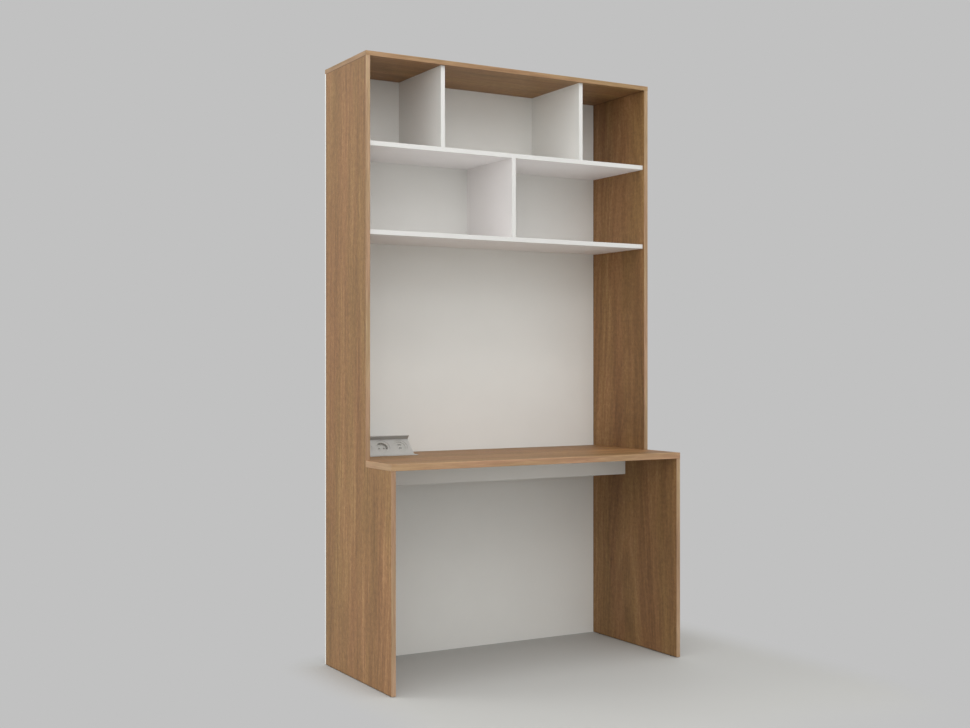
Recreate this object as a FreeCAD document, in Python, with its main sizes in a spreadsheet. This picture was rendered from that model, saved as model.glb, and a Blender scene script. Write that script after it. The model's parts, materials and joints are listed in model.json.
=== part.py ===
import FreeCAD, Part
import math
import operator
import os

import Sketcher
from FreeCAD import Placement, Rotation, Vector

# Student desk with hutch, in millimetres. +Z is up and the front faces -Y. The origin is on the
# floor, at mid-width and at mid-depth. Two L-shaped sides carry a top panel, two shelves with
# dividers, an apron rail and a worktop whose back part fits between the sides. The boards are
# joined by loose tongues in blind grooves. A power unit with a flap that swings up is let into
# the worktop, at the back on the left.

SIZES = {
    # carcass
    "overall_width": 1172,
    "total_height": 2125,
    "lower_depth": 534,  # from the front of the worktop to the back panel
    "upper_depth": 338,  # from the front of the tall sides to the back panel
    "board": 16,
    "back_thickness": 8,
    "compartment_height": 283,  # clear height of each shelf compartment
    "front_setback": 10.5,  # shelves and dividers behind the front of the sides
    "divider_offset": 288,  # from mid-width to the middle of an outer divider
    # worktop and apron
    "worktop_height": 750,
    "worktop_thickness": 22,
    "apron_height": 79,
    "apron_setback": 318,  # behind the front of the worktop
    # edge bands
    "band": 1,
    "band_round": 0.8,
    "worktop_band": 2,
    "worktop_band_round": 1.5,
    # loose tongues
    "tongue": 5,
    "tongue_in_face": 8,
    "tongue_in_edge": 12,
    "tongue_stop": 30,  # from the front or back of a board to the end of its tongue
    "apron_tongue_stop": 15,
    "joint_clearance": 0.1,
    # floor glides
    "glide_height": 2,
    "glide_diameter": 14,
    "glide_inset": 40,
    "glide_nail": 2.4,
    "glide_nail_length": 14,
    # power unit: frame and box
    "opening_length": 226,
    "frame_thickness": 2,
    "frame_front_corner": 14,
    "frame_rear_corner": 6,
    "frame_bevel": 0.8,
    "frame_end_margin": 5,
    "frame_front_margin": 25.8,
    "frame_rear_margin": 8.5,
    "frame_side_gap": 34,  # from the frame's end to the left side panel
    "frame_rear_gap": 8,  # from the frame to the back panel
    "box_wall": 2,
    "box_corner": 3,
    "box_floor_gap": 4,
    "box_rear_gap": 1,
    "cutout_clearance": 1,
    "cover_thickness": 2,
    "cover_rim": 1.5,
    "cover_rim_height": 3,
    "cover_fit": 0.2,
    # power unit: clamps and gland
    "clamp_width": 25,
    "clamp_leg": 20,
    "clamp_arm": 15,
    "clamp_thickness": 1.5,
    "clamp_behind_front": 40,
    "gland_bore": 7,
    "gland_thread": 12,
    "gland_collar": 17,
    "gland_collar_length": 4,
    "gland_nut": 14,
    "gland_nut_length": 9,
    "gland_behind_axis": 8,
    "gland_below_axis": 42,
    # power unit: flap, measured from its hinge axis while it is folded down
    "hinge_drop": 25,  # from the top of the frame down to the hinge axis
    "open_angle": 45,
    "flap_reach": 104,  # from the hinge axis to the front edge of the flap
    "flap_height": 80.5,
    "flap_wall": 3,
    "flap_gap": 0.7,
    "lip": 17,
    "hinge_pin": 5,
    "hinge_running_clearance": 0.07,
    "hinge_boss": 12,
    "hinge_boss_length": 5,
    # power unit: inserts
    "insert_pitch": 70,
    "insert_drop": 36.7,  # from the flap's top to the middle of the inserts
    "insert_seat": 2,  # how deep the inserts are let into the flap
    "insert_rim": 57.2,
    "insert_rim_height": 0.8,
    "insert_diameter": 44,
    "insert_depth": 30,
    "insert_clearance": 0.1,
    "socket_recess": 40,
    "socket_recess_depth": 9.5,
    "socket_pin_pitch": 19,
    "socket_pin": 5,
    "socket_pin_depth": 19.5,
    "key_width": 5,
    "key_height": 2,
    "clip_width": 5,
    "clip_thickness": 0.8,
    "clip_length": 7,
    "clip_bow": 1.2,
    "charger_recess": 42,
    "charger_recess_depth": 2,
    "port_width": 13.2,
    "port_height": 5.8,
    "port_wall": 0.4,
    "port_depth": 13,
    "port_spacing": 15,
    "port_clearance": 0.1,
    "tongue_width": 11,
    "tongue_height": 1.9,
    "tongue_length": 10,
}

OPERATIONS = {"+": operator.add, "-": operator.sub, "*": operator.mul, "/": operator.truediv}


class Size:
    """A length or angle: its value now, and the spreadsheet expression that gives it."""

    def __init__(self, value, text):
        self.value = value
        self.text = text

    def __add__(self, other):
        return combined(self, "+", other)

    def __sub__(self, other):
        return combined(self, "-", other)

    def __mul__(self, other):
        return combined(self, "*", other)

    def __truediv__(self, other):
        return combined(self, "/", other)

    def __neg__(self):
        return combined(ZERO, "-", self)


def combined(first, sign, second):
    """Two sizes, or a size and a plain number, in one expression."""
    if not isinstance(second, Size):
        second = Size(float(second), str(second))
    value = OPERATIONS[sign](first.value, second.value)
    return Size(value, f"({first.text} {sign} {second.text})")


def root(size):
    return Size(math.sqrt(size.value), f"sqrt({size.text})")


def sine(angle):
    return Size(math.sin(math.radians(angle.value)), f"sin({angle.text})")


def cosine(angle):
    return Size(math.cos(math.radians(angle.value)), f"cos({angle.text})")


class Table:
    """The spreadsheet's cells by name, each as a Size."""

    def __init__(self, document, numbers):
        sheet = document.addObject("Spreadsheet::Sheet", "sizes")
        for row, (alias, number) in enumerate(numbers.items(), 1):
            sheet.set(f"A{row}", alias)
            sheet.set(f"B{row}", str(number))
            sheet.setAlias(f"B{row}", alias)
            setattr(self, alias, Size(float(number), f"sizes.{alias}"))


ZERO = Size(0.0, "0")
doc = FreeCAD.newDocument("desk_with_hutch")
sizes = Table(doc, SIZES)
doc.recompute()

# planes of the desk, in its own frame
HALF_WIDTH = sizes.overall_width / 2
INNER = HALF_WIDTH - sizes.board
SIDE_MIDDLE = HALF_WIDTH - sizes.board / 2
REAR = (sizes.lower_depth + sizes.back_thickness) / 2
BACK_FACE = REAR - sizes.back_thickness
FRONT = BACK_FACE - sizes.lower_depth
UPPER_FRONT = BACK_FACE - sizes.upper_depth
SHELF_FRONT = UPPER_FRONT + sizes.front_setback
FOOT = sizes.glide_height
WORKTOP_UNDER = sizes.worktop_height - sizes.worktop_thickness
TOP_UNDER = sizes.total_height - sizes.board
UPPER_SHELF = TOP_UNDER - sizes.compartment_height - sizes.board
LOWER_SHELF = UPPER_SHELF - sizes.compartment_height - sizes.board
UPPER_ROW = UPPER_SHELF + sizes.board
LOWER_ROW = LOWER_SHELF + sizes.board
APRON_FRONT = FRONT + sizes.apron_setback
APRON_REAR = APRON_FRONT + sizes.board
APRON_UNDER = WORKTOP_UNDER - sizes.apron_height

# planes of the power unit, measured from its hinge axis
SEAT = sizes.hinge_drop - sizes.frame_thickness
OPENING = sizes.opening_length / 2
OPENING_FRONT = -(sizes.flap_reach + sizes.flap_gap)
# the raised flap's top slopes down past the rear edge of the opening
RAISED_TOP = (sizes.hinge_drop - SEAT * cosine(sizes.open_angle)) / sine(sizes.open_angle)
OPENING_REAR = RAISED_TOP + sizes.flap_gap
BOX_FRONT = OPENING_FRONT - sizes.box_wall
BOX_INSIDE_REAR = sizes.hinge_drop + sizes.box_rear_gap
BOX_REAR = BOX_INSIDE_REAR + sizes.box_wall
BOX_END = OPENING + sizes.box_wall
BOX_FLOOR = sizes.hinge_drop - sizes.flap_height - sizes.box_floor_gap
FRAME_END = OPENING + sizes.frame_end_margin
FRAME_FRONT = OPENING_FRONT - sizes.frame_front_margin
FRAME_REAR = BOX_REAR + sizes.frame_rear_margin
FLAP_END = OPENING - sizes.flap_gap
FLAP_FOOT = sizes.hinge_drop - sizes.flap_height
SOCKET_FACE = sizes.lip - sizes.flap_reach
INSERT_LEVEL = sizes.hinge_drop - sizes.insert_drop
INSERT_SEAT = SOCKET_FACE + sizes.insert_seat
INSERT_MOUTH = INSERT_SEAT - sizes.insert_rim_height

HINGE_AXIS = (
    sizes.frame_side_gap + FRAME_END - INNER,
    BACK_FACE - sizes.frame_rear_gap - FRAME_REAR,
    sizes.worktop_height + sizes.frame_thickness - sizes.hinge_drop,
)
ORIGIN = (ZERO, ZERO, ZERO)

# each axis with the plane across it and that plane's own two axes
PLANES = {"x": ("YZ_Plane", "yz"), "y": ("XZ_Plane", "xz"), "z": ("XY_Plane", "xy")}


# ---------------------------------------------------------------- pieces


def index(axis):
    return "xyz".index(axis)


def across(axis):
    """Where a point holds the two coordinates in the plane across an axis."""
    return [index(letter) for letter in PLANES[axis][1]]


def facing(axis):
    """The sign of the normal of the plane across an axis."""
    return -1 if axis == "y" else 1


def both_sides():
    """Left and right, each with its sign along x."""
    return ("left", -1), ("right", 1)


class Piece:
    """A body in a frame of its own. Its features take the coordinates of the desk, or those of
    the hinge axis where the piece belongs to the power unit."""

    def __init__(self, label, place, datum=None):
        self.body = doc.addObject("PartDesign::Body", label)
        self.body.Label = label
        for axis, size in zip("xyz", place):
            self.body.setExpression(f"Placement.Base.{axis}", size.text)
        self.datum = place if datum is None else datum

    def sketch(self, name, axis, level):
        """An empty sketch across an axis, at a level on it."""
        role = PLANES[axis][0]
        plane = next(f for f in self.body.Origin.OriginFeatures if f.Role == role)
        sketch = self.body.newObject("Sketcher::SketchObject", f"{name}_sketch")
        sketch.AttachmentSupport = (plane, [""])
        sketch.MapMode = "FlatFace"
        offset = (level - self.datum[index(axis)]) * facing(axis)
        sketch.setExpression("AttachmentOffset.Base.z", offset.text)
        return sketch

    def local(self, axis, point):
        """A point's two coordinates in the sketches across an axis."""
        first, second = across(axis)
        return point[0] - self.datum[first], point[1] - self.datum[second]

    def outline(self, name, axis, level, corners):
        """A sketch of a closed outline. A corner is (a, b), or (a, b, radius, turn) where an arc
        arrives at it, turning left (+1) or right (-1)."""
        sketch = self.sketch(name, axis, level)
        places = [self.local(axis, corner[:2]) for corner in corners]
        points = [Vector(a.value, b.value, 0) for a, b in places]
        ends = []  # each edge's own first and last point, in the order of the outline
        for n, corner in enumerate(corners):
            if len(corner) == 2:
                edge, left = Part.LineSegment(points[n - 1], points[n]), True
            else:
                radius, turn = corner[2:]
                edge, left = arc(points[n - 1], points[n], radius.value, turn), turn > 0
            sketch.addGeometry(edge, False)
            ends.append((1, 2) if left else (2, 1))
        for n, corner in enumerate(corners):
            follower = (n + 1) % len(corners)
            last, first = ends[n][1], ends[follower][0]
            sketch.addConstraint(Sketcher.Constraint("Coincident", n, last, follower, first))
            drive(sketch, places[n][0], "DistanceX", -1, 1, n, last)
            drive(sketch, places[n][1], "DistanceY", -1, 1, n, last)
            if len(corner) > 2:
                drive(sketch, corner[2], "Radius", n)
        return sketch

    def circle(self, name, axis, level, centre, diameter):
        """A sketch of one circle."""
        sketch = self.sketch(name, axis, level)
        a, b = self.local(axis, centre)
        middle = Vector(a.value, b.value, 0)
        sketch.addGeometry(Part.Circle(middle, Vector(0, 0, 1), diameter.value / 2), False)
        drive(sketch, diameter, "Diameter", 0)
        drive(sketch, a, "DistanceX", -1, 1, 0, 3)
        drive(sketch, b, "DistanceY", -1, 1, 0, 3)
        return sketch

    def pad(self, name, direction, sketch, length):
        """Adds material from the sketch's plane towards a direction such as "-x"."""
        return self.extrude("PartDesign::Pad", name, direction, sketch, length, -1)

    def cut(self, name, direction, sketch, length):
        """Takes material away from the sketch's plane towards a direction."""
        return self.extrude("PartDesign::Pocket", name, direction, sketch, length, 1)

    def extrude(self, kind, name, direction, sketch, length, reversed_sign):
        feature = self.body.newObject(kind, name)
        feature.Profile = sketch
        feature.setExpression("Length", length.text)
        sign = facing(direction[1]) * towards(direction)
        feature.Reversed = sign == reversed_sign
        return feature

    def bore(self, name, direction, point, diameter, depth):
        """A round hole that starts at a point and goes in a direction."""
        axis = direction[1]
        first, second = across(axis)
        level = point[index(axis)]
        sketch = self.circle(name, axis, level, (point[first], point[second]), diameter)
        return self.cut(name, direction, sketch, depth)


def towards(direction):
    return 1 if direction[0] == "+" else -1


def reverse(direction):
    return ("-" if direction[0] == "+" else "+") + direction[1]


def drive(sketch, size, kind, *targets):
    """Adds a dimension and binds it to the spreadsheet."""
    number = sketch.addConstraint(Sketcher.Constraint(kind, *targets, size.value))
    sketch.setExpression(f"Constraints[{number}]", size.text)


def arc(start, end, radius, turn):
    """The shorter arc from start to end, turning left (+1) or right (-1)."""
    chord = end - start
    sideways = Vector(-chord.y, chord.x, 0).normalize() * turn
    rise = math.sqrt(max(radius**2 - (chord.Length / 2) ** 2, 0))
    centre = (start + end) / 2 + sideways * rise
    spokes = [start - centre, end - centre] if turn > 0 else [end - centre, start - centre]
    angles = [math.atan2(spoke.y, spoke.x) for spoke in spokes]
    return Part.ArcOfCircle(Part.Circle(centre, Vector(0, 0, 1), radius), *angles)


def rectangle(a, b, c, d):
    """The corners of a rectangle from (a, b) to (c, d)."""
    return [(a, b), (c, b), (c, d), (a, d)]


def rounded(a, b, c, d, radius, at_b=None):
    """A rectangle from (a, b) to (c, d) with four round corners. The two at b may have a radius
    of their own."""
    near = at_b or radius
    return [
        (a + near, b, near, 1),
        (c - near, b),
        (c, b + near, near, 1),
        (c, d - radius),
        (c - radius, d, radius, 1),
        (a + radius, d),
        (a, d - radius, radius, 1),
        (a, b + near),
    ]


def half_rounded(a, b, c, d, radius):
    """A rectangle from (a, b) to (c, d) whose two corners at b are round."""
    return [
        (a + radius, b, radius, 1),
        (c - radius, b),
        (c, b + radius, radius, 1),
        (c, d),
        (a, d),
        (a, b + radius),
    ]


def hexagon(centre, flats):
    """The corners of a hexagon, given its width across the flats."""
    a, b = centre
    half = flats / 2
    side = half / cosine(Size(30.0, "30"))
    return [
        (a - side, b),
        (a - side / 2, b - half),
        (a + side / 2, b - half),
        (a + side, b),
        (a + side / 2, b + half),
        (a - side / 2, b + half),
    ]


def grouped(label, pieces):
    """One node that holds several pieces as separate solids."""
    group = doc.addObject("Part::Compound", label)
    group.Label = label
    group.Links = [piece.body for piece in pieces]
    return group


def box_piece(label, low, high):
    """A rectangular board between two opposite corners."""
    piece = Piece(label, low)
    corners = rectangle(low[0], low[1], high[0], high[1])
    piece.pad("board", "+z", piece.outline("board", "z", low[2], corners), high[2] - low[2])
    return piece


# ---------------------------------------------------------------- boards


def side_panel(name):
    left_face = -HALF_WIDTH if name == "left" else INNER
    piece = Piece(f"{name}_side_panel", (left_face, BACK_FACE, FOOT))
    front, upper_front = FRONT + sizes.band, UPPER_FRONT + sizes.band
    corners = [
        (BACK_FACE, FOOT),
        (BACK_FACE, TOP_UNDER),
        (upper_front, TOP_UNDER),
        (upper_front, WORKTOP_UNDER),
        (front, WORKTOP_UNDER),
        (front, FOOT),
    ]
    piece.pad("panel", "+x", piece.outline("panel", "x", left_face, corners), sizes.board)
    return piece


def worktop():
    """The T-shaped board with its cut-out for the power unit."""
    piece = Piece("worktop", (-HALF_WIDTH, FRONT, WORKTOP_UNDER))
    end, front = HALF_WIDTH - sizes.worktop_band, FRONT + sizes.worktop_band
    corners = [
        (-end, front),
        (end, front),
        (end, UPPER_FRONT),
        (INNER, UPPER_FRONT),
        (INNER, BACK_FACE),
        (-INNER, BACK_FACE),
        (-INNER, UPPER_FRONT),
        (-end, UPPER_FRONT),
    ]
    board = piece.outline("board", "z", WORKTOP_UNDER, corners)
    piece.pad("board", "+z", board, sizes.worktop_thickness)
    middle, axis_y, _ = HINGE_AXIS
    reach = BOX_END + sizes.cutout_clearance
    front = axis_y + BOX_FRONT - sizes.cutout_clearance
    rear = axis_y + BOX_REAR + sizes.cutout_clearance
    radius = sizes.box_corner + sizes.cutout_clearance
    corners = rounded(middle - reach, front, middle + reach, rear, radius)
    hole = piece.outline("cutout", "z", sizes.worktop_height, corners)
    piece.cut("cutout", "-z", hole, sizes.worktop_thickness)
    return piece


def top_panel():
    end = HALF_WIDTH - sizes.band
    low = (-end, UPPER_FRONT + sizes.band, TOP_UNDER)
    return box_piece("top_panel", low, (end, REAR, sizes.total_height))


def back_panel():
    high = (HALF_WIDTH, REAR, TOP_UNDER)
    return box_piece("back_panel", (-HALF_WIDTH, BACK_FACE, FOOT), high)


def shelf(label, under):
    low = (-INNER, SHELF_FRONT + sizes.band, under)
    return box_piece(label, low, (INNER, BACK_FACE, under + sizes.board))


def divider(label, middle, under):
    half = sizes.board / 2
    low = (middle - half, SHELF_FRONT + sizes.band, under)
    return box_piece(label, low, (middle + half, BACK_FACE, under + sizes.compartment_height))


def apron_rail():
    low = (-INNER, APRON_FRONT, APRON_UNDER + sizes.band)
    return box_piece("apron_rail", low, (INNER, APRON_REAR, WORKTOP_UNDER))


# ---------------------------------------------------------------- edge bands


def upright_band(label, left, right, front, foot, head):
    """A strip on the front edge of an upright board, its front corners rounded."""
    piece = Piece(label, (left, front, foot))
    corners = half_rounded(left, front, right, front + sizes.band, sizes.band_round)
    piece.pad("strip", "+z", piece.outline("strip", "z", foot, corners), head - foot)
    return piece


def front_band(label, half_length, front, thickness, foot, head, radius):
    """A strip along X on the front edge of a level board."""
    piece = Piece(label, (-half_length, front, foot))
    corners = [
        (front + radius, foot, radius, 1),
        (front + thickness, foot),
        (front + thickness, head),
        (front + radius, head),
        (front, head - radius, radius, 1),
        (front, foot + radius),
    ]
    strip = piece.outline("strip", "x", -half_length, corners)
    piece.pad("strip", "+x", strip, half_length * 2)
    return piece


def end_band(label, side, thickness, front, rear, foot, head, radius):
    """A strip along Y on the left (-1) or right (+1) end of a level board."""
    outer = HALF_WIDTH * side
    inner = outer - thickness * side
    eased = outer - radius * side
    piece = Piece(label, (inner, front, foot))
    corners = [
        (inner, foot),
        (eased, foot),
        (outer, foot + radius, radius, side),
        (outer, head - radius),
        (eased, head, radius, side),
        (inner, head),
    ]
    piece.pad("strip", "+y", piece.outline("strip", "y", front, corners), rear - front)
    return piece


def board_bands(label, front, rear, thickness, foot, head, radius):
    """The front strip of a level board, and a strip on each of its ends."""
    strips = [front_band(f"{label}_front", HALF_WIDTH, front, thickness, foot, head, radius)]
    for name, side in both_sides():
        strips.append(end_band(f"{label}_{name}", side, thickness, front + thickness, rear, foot,
                               head, radius))
    return grouped(label, strips)


def side_bands(name):
    left = -HALF_WIDTH if name == "left" else INNER
    label = f"{name}_side_edge_bands"
    runs = [(UPPER_FRONT, WORKTOP_UNDER, TOP_UNDER), (FRONT, FOOT, WORKTOP_UNDER)]
    strips = [upright_band(f"{label}_{n}", left, left + sizes.board, front, foot, head)
              for n, (front, foot, head) in enumerate(runs, 1)]
    return grouped(label, strips)


def shelf_bands():
    strips = [front_band(f"shelf_edge_{n}", INNER, SHELF_FRONT, sizes.band, under,
                         under + sizes.board, sizes.band_round)
              for n, under in enumerate((LOWER_SHELF, UPPER_SHELF), 1)]
    return grouped("shelf_edge_bands", strips)


def divider_bands(places):
    half = sizes.board / 2
    strips = [upright_band(f"divider_edge_{n}", middle - half, middle + half, SHELF_FRONT, under,
                           under + sizes.compartment_height)
              for n, (middle, under) in enumerate(places, 1)]
    return grouped("divider_edge_bands", strips)


def apron_band():
    """The strip under the apron, its lower corners rounded."""
    piece = Piece("apron_edge_band", (-INNER, APRON_FRONT, APRON_UNDER))
    head = APRON_UNDER + sizes.band
    corners = half_rounded(APRON_FRONT, APRON_UNDER, APRON_REAR, head, sizes.band_round)
    piece.pad("strip", "+x", piece.outline("strip", "x", -INNER, corners), INNER * 2)
    return piece.body


# ---------------------------------------------------------------- joints of the boards


def tongue(label, face, edge, direction, level, section):
    """A loose tongue between the edge of one board and the face of another, and its grooves. It
    points in a direction into the face; section is its low and high corner across that."""
    axis = direction[1]
    grown = widened(section, sizes.joint_clearance)
    for board, way, depth in ((face, direction, sizes.tongue_in_face),
                              (edge, reverse(direction), sizes.tongue_in_edge)):
        groove = board.outline(f"{label}_groove", axis, level, rectangle(*grown))
        board.cut(f"{label}_groove", way, groove, depth + sizes.joint_clearance)
    start = level - sizes.tongue_in_edge * towards(direction)
    place = [section[0], section[1]]
    place.insert(index(axis), start)
    piece = Piece(label, tuple(place))
    blade = piece.outline("blade", axis, start, rectangle(*section))
    piece.pad("blade", direction, blade, sizes.tongue_in_face + sizes.tongue_in_edge)
    return piece


def widened(section, margin):
    a, b, c, d = section
    return a - margin, b - margin, c + margin, d + margin


def shelf_tongues(shelves, sides):
    half = sizes.tongue / 2
    front, rear = SHELF_FRONT + sizes.tongue_stop, BACK_FACE - sizes.tongue_stop
    tongues = []
    for row, (board, under) in shelves.items():
        middle = under + sizes.board / 2
        section = (front, middle - half, rear, middle + half)
        for name, side in both_sides():
            direction = "-x" if side < 0 else "+x"
            tongues.append(tongue(f"{row}_{name}_tongue", sides[name], board, direction,
                                  INNER * side, section))
    return grouped("shelf_tongues", tongues)


def divider_tongues(ends):
    """One tongue for each end of a divider, given as (name, divider, middle, board that it
    meets, direction, level)."""
    half = sizes.tongue / 2
    front, rear = SHELF_FRONT + sizes.tongue_stop, BACK_FACE - sizes.tongue_stop
    tongues = [tongue(f"{name}_tongue", face, board, direction, level,
                      (middle - half, front, middle + half, rear))
               for name, board, middle, face, direction, level in ends]
    return grouped("divider_tongues", tongues)


def top_tongues(top, sides):
    half = sizes.tongue / 2
    front, rear = UPPER_FRONT + sizes.tongue_stop, BACK_FACE - sizes.tongue_stop
    tongues = [tongue(f"top_{name}_tongue", top, sides[name], "+z", TOP_UNDER,
                      (SIDE_MIDDLE * side - half, front, SIDE_MIDDLE * side + half, rear))
               for name, side in both_sides()]
    return grouped("top_panel_tongues", tongues)


def worktop_tongues(board, sides):
    """Tongues between the worktop and the tall part of each side, and on top of each leg."""
    half = sizes.tongue / 2
    middle = WORKTOP_UNDER + sizes.worktop_thickness / 2
    front, rear = UPPER_FRONT + sizes.tongue_stop, BACK_FACE - sizes.tongue_stop
    leg_front, leg_rear = FRONT + sizes.tongue_stop, UPPER_FRONT - sizes.tongue_stop
    tongues = []
    for name, side in both_sides():
        direction = "-x" if side < 0 else "+x"
        tongues.append(tongue(f"worktop_{name}_tongue", sides[name], board, direction,
                              INNER * side, (front, middle - half, rear, middle + half)))
        leg = SIDE_MIDDLE * side
        tongues.append(tongue(f"leg_{name}_tongue", board, sides[name], "+z", WORKTOP_UNDER,
                              (leg - half, leg_front, leg + half, leg_rear)))
    return grouped("worktop_tongues", tongues)


def apron_tongues(rail, board, sides):
    half = sizes.tongue / 2
    middle = APRON_FRONT + sizes.board / 2
    low, high = APRON_UNDER + sizes.apron_tongue_stop, WORKTOP_UNDER - sizes.apron_tongue_stop
    reach = INNER - sizes.tongue_stop
    tongues = [tongue("apron_top_tongue", board, rail, "+z", WORKTOP_UNDER,
                      (-reach, middle - half, reach, middle + half))]
    for name, side in both_sides():
        direction = "-x" if side < 0 else "+x"
        tongues.append(tongue(f"apron_{name}_tongue", sides[name], rail, direction,
                              INNER * side, (middle - half, low, middle + half, high)))
    return grouped("apron_tongues", tongues)


def floor_glides(sides):
    """A round glide under the front and the back of each side, nailed into its lower edge."""
    glides = []
    for name, side in both_sides():
        for end, y in (("front", FRONT + sizes.glide_inset), ("rear", BACK_FACE - sizes.glide_inset)):
            x = SIDE_MIDDLE * side
            hole = sizes.glide_nail + sizes.joint_clearance * 2
            depth = sizes.glide_nail_length + sizes.joint_clearance
            sides[name].bore(f"{end}_nail_hole", "+z", (x, y, FOOT), hole, depth)
            glides.append(glide(f"{name}_{end}_glide", (x, y, ZERO)))
    return grouped("floor_glides", glides)


def glide(label, place):
    """A disc and its nail, turned about the upright axis through the place."""
    piece = Piece(label, place, ORIGIN)
    radius, nail = sizes.glide_diameter / 2, sizes.glide_nail / 2
    top = sizes.glide_height + sizes.glide_nail_length
    profile = piece.outline("profile", "y", ZERO, [
        (ZERO, ZERO),
        (radius, ZERO),
        (radius, sizes.glide_height),
        (nail, sizes.glide_height),
        (nail, top),
        (ZERO, top),
    ])
    turning = piece.body.newObject("PartDesign::Revolution", "turning")
    turning.Profile = profile
    turning.ReferenceAxis = (profile, ["V_Axis"])
    turning.Angle = 360
    return piece


# ---------------------------------------------------------------- power unit: fixed part


def fixed_piece(label):
    """A piece that stays in the worktop."""
    return Piece(label, HINGE_AXIS, ORIGIN)


def power_box():
    """The frame on the worktop and, in one moulding, the four walls that hang from it."""
    piece = fixed_piece("power_box")
    plate = rounded(-FRAME_END, FRAME_FRONT, FRAME_END, FRAME_REAR, sizes.frame_rear_corner,
                    sizes.frame_front_corner)
    plate = piece.outline("frame", "z", SEAT, plate)
    frame = piece.pad("frame", "+z", plate, sizes.frame_thickness)
    bevel(piece, frame, (SEAT, sizes.hinge_drop), sizes.frame_bevel)
    height = SEAT - BOX_FLOOR
    walls = rounded(-BOX_END, BOX_FRONT, BOX_END, BOX_REAR, sizes.box_corner)
    piece.pad("walls", "-z", piece.outline("walls", "z", SEAT, walls), height)
    hollow = rectangle(-OPENING, OPENING_FRONT, OPENING, BOX_INSIDE_REAR)
    piece.cut("hollow", "-z", piece.outline("hollow", "z", SEAT, hollow), height)
    mouth = rectangle(-OPENING, OPENING_FRONT, OPENING, OPENING_REAR)
    mouth = piece.outline("mouth", "z", sizes.hinge_drop, mouth)
    piece.cut("mouth", "-z", mouth, sizes.frame_thickness)
    for name, side in both_sides():
        pin = (BOX_END * side, ZERO, ZERO)
        inwards = "+x" if side < 0 else "-x"
        diameter = sizes.hinge_pin + sizes.hinge_running_clearance * 2
        piece.bore(f"{name}_pin_hole", inwards, pin, diameter, sizes.box_wall)
    gland = (BOX_END, sizes.gland_behind_axis, -sizes.gland_below_axis)
    diameter = sizes.gland_thread + sizes.joint_clearance * 2
    piece.bore("gland_hole", "-x", gland, diameter, sizes.box_wall)
    return piece.body


def bevel(piece, base, levels, size):
    """Bevels the edges of a feature that lie at any of the levels."""
    doc.recompute()
    edges = [f"Edge{n}" for n, edge in enumerate(base.Shape.Edges, 1)
             if any(lies_at(edge.BoundBox, level.value) for level in levels)]
    cut = piece.body.newObject("PartDesign::Chamfer", "bevel")
    cut.Base = (base, edges)
    cut.setExpression("Size", size.text)


def lies_at(box, height):
    return abs(box.ZMin - height) < 1e-3 and abs(box.ZMax - height) < 1e-3


def power_box_cover():
    """The lid under the box, with a rim that fits inside its walls."""
    piece = fixed_piece("power_box_cover")
    plate = rounded(-BOX_END, BOX_FRONT, BOX_END, BOX_REAR, sizes.box_corner)
    plate = piece.outline("plate", "z", BOX_FLOOR, plate)
    piece.pad("plate", "-z", plate, sizes.cover_thickness)
    inside = (-OPENING, OPENING_FRONT, OPENING, BOX_INSIDE_REAR)
    rim = widened(inside, -sizes.cover_fit)
    outer = piece.outline("rim", "z", BOX_FLOOR, rectangle(*rim))
    piece.pad("rim", "+z", outer, sizes.cover_rim_height)
    well = piece.outline("well", "z", BOX_FLOOR, rectangle(*widened(rim, -sizes.cover_rim)))
    piece.cut("well", "+z", well, sizes.cover_rim_height)
    return piece.body


def clamp_brackets():
    """An angle on each end wall, whose arm grips the underside of the worktop."""
    under = SEAT - sizes.worktop_thickness
    thickness = sizes.clamp_thickness
    front = OPENING_FRONT + sizes.clamp_behind_front
    brackets = []
    for name, side in both_sides():
        wall = BOX_END * side
        back = wall + thickness * side
        tip = wall + sizes.clamp_arm * side
        corners = [
            (wall, under),
            (wall, under - sizes.clamp_leg),
            (back, under - sizes.clamp_leg),
            (back, under - thickness),
            (tip, under - thickness),
            (tip, under),
        ]
        piece = fixed_piece(f"{name}_clamp_bracket")
        angle = piece.outline("angle", "y", front, corners)
        piece.pad("angle", "+y", angle, sizes.clamp_width)
        brackets.append(piece)
    return grouped("clamp_brackets", brackets)


def cord_gland():
    """The gland in the right end wall, with a clear bore for a supply cord."""
    piece = fixed_piece("cord_gland")
    centre = (sizes.gland_behind_axis, -sizes.gland_below_axis)
    thread = piece.circle("thread", "x", OPENING, centre, sizes.gland_thread)
    piece.pad("thread", "+x", thread, sizes.box_wall)
    collar = piece.circle("collar", "x", BOX_END, centre, sizes.gland_collar)
    piece.pad("collar", "+x", collar, sizes.gland_collar_length)
    nut_foot = BOX_END + sizes.gland_collar_length
    nut = piece.outline("nut", "x", nut_foot, hexagon(centre, sizes.gland_nut))
    piece.pad("nut", "+x", nut, sizes.gland_nut_length)
    length = sizes.box_wall + sizes.gland_collar_length + sizes.gland_nut_length
    piece.bore("cord_bore", "+x", (OPENING, *centre), sizes.gland_bore, length)
    return piece.body


def hinge_pins():
    """Plain pins, fixed in the end walls of the box, on which the flap turns."""
    length = sizes.box_wall + sizes.flap_gap + sizes.flap_wall + sizes.hinge_boss_length
    pins = []
    for name, side in both_sides():
        piece = fixed_piece(f"{name}_hinge_pin")
        inwards = "+x" if side < 0 else "-x"
        pin = piece.circle("pin", "x", BOX_END * side, (ZERO, ZERO), sizes.hinge_pin)
        piece.pad("pin", inwards, pin, length)
        pins.append(piece)
    return grouped("flap_hinge_pins", pins)


# ---------------------------------------------------------------- power unit: flap


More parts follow.
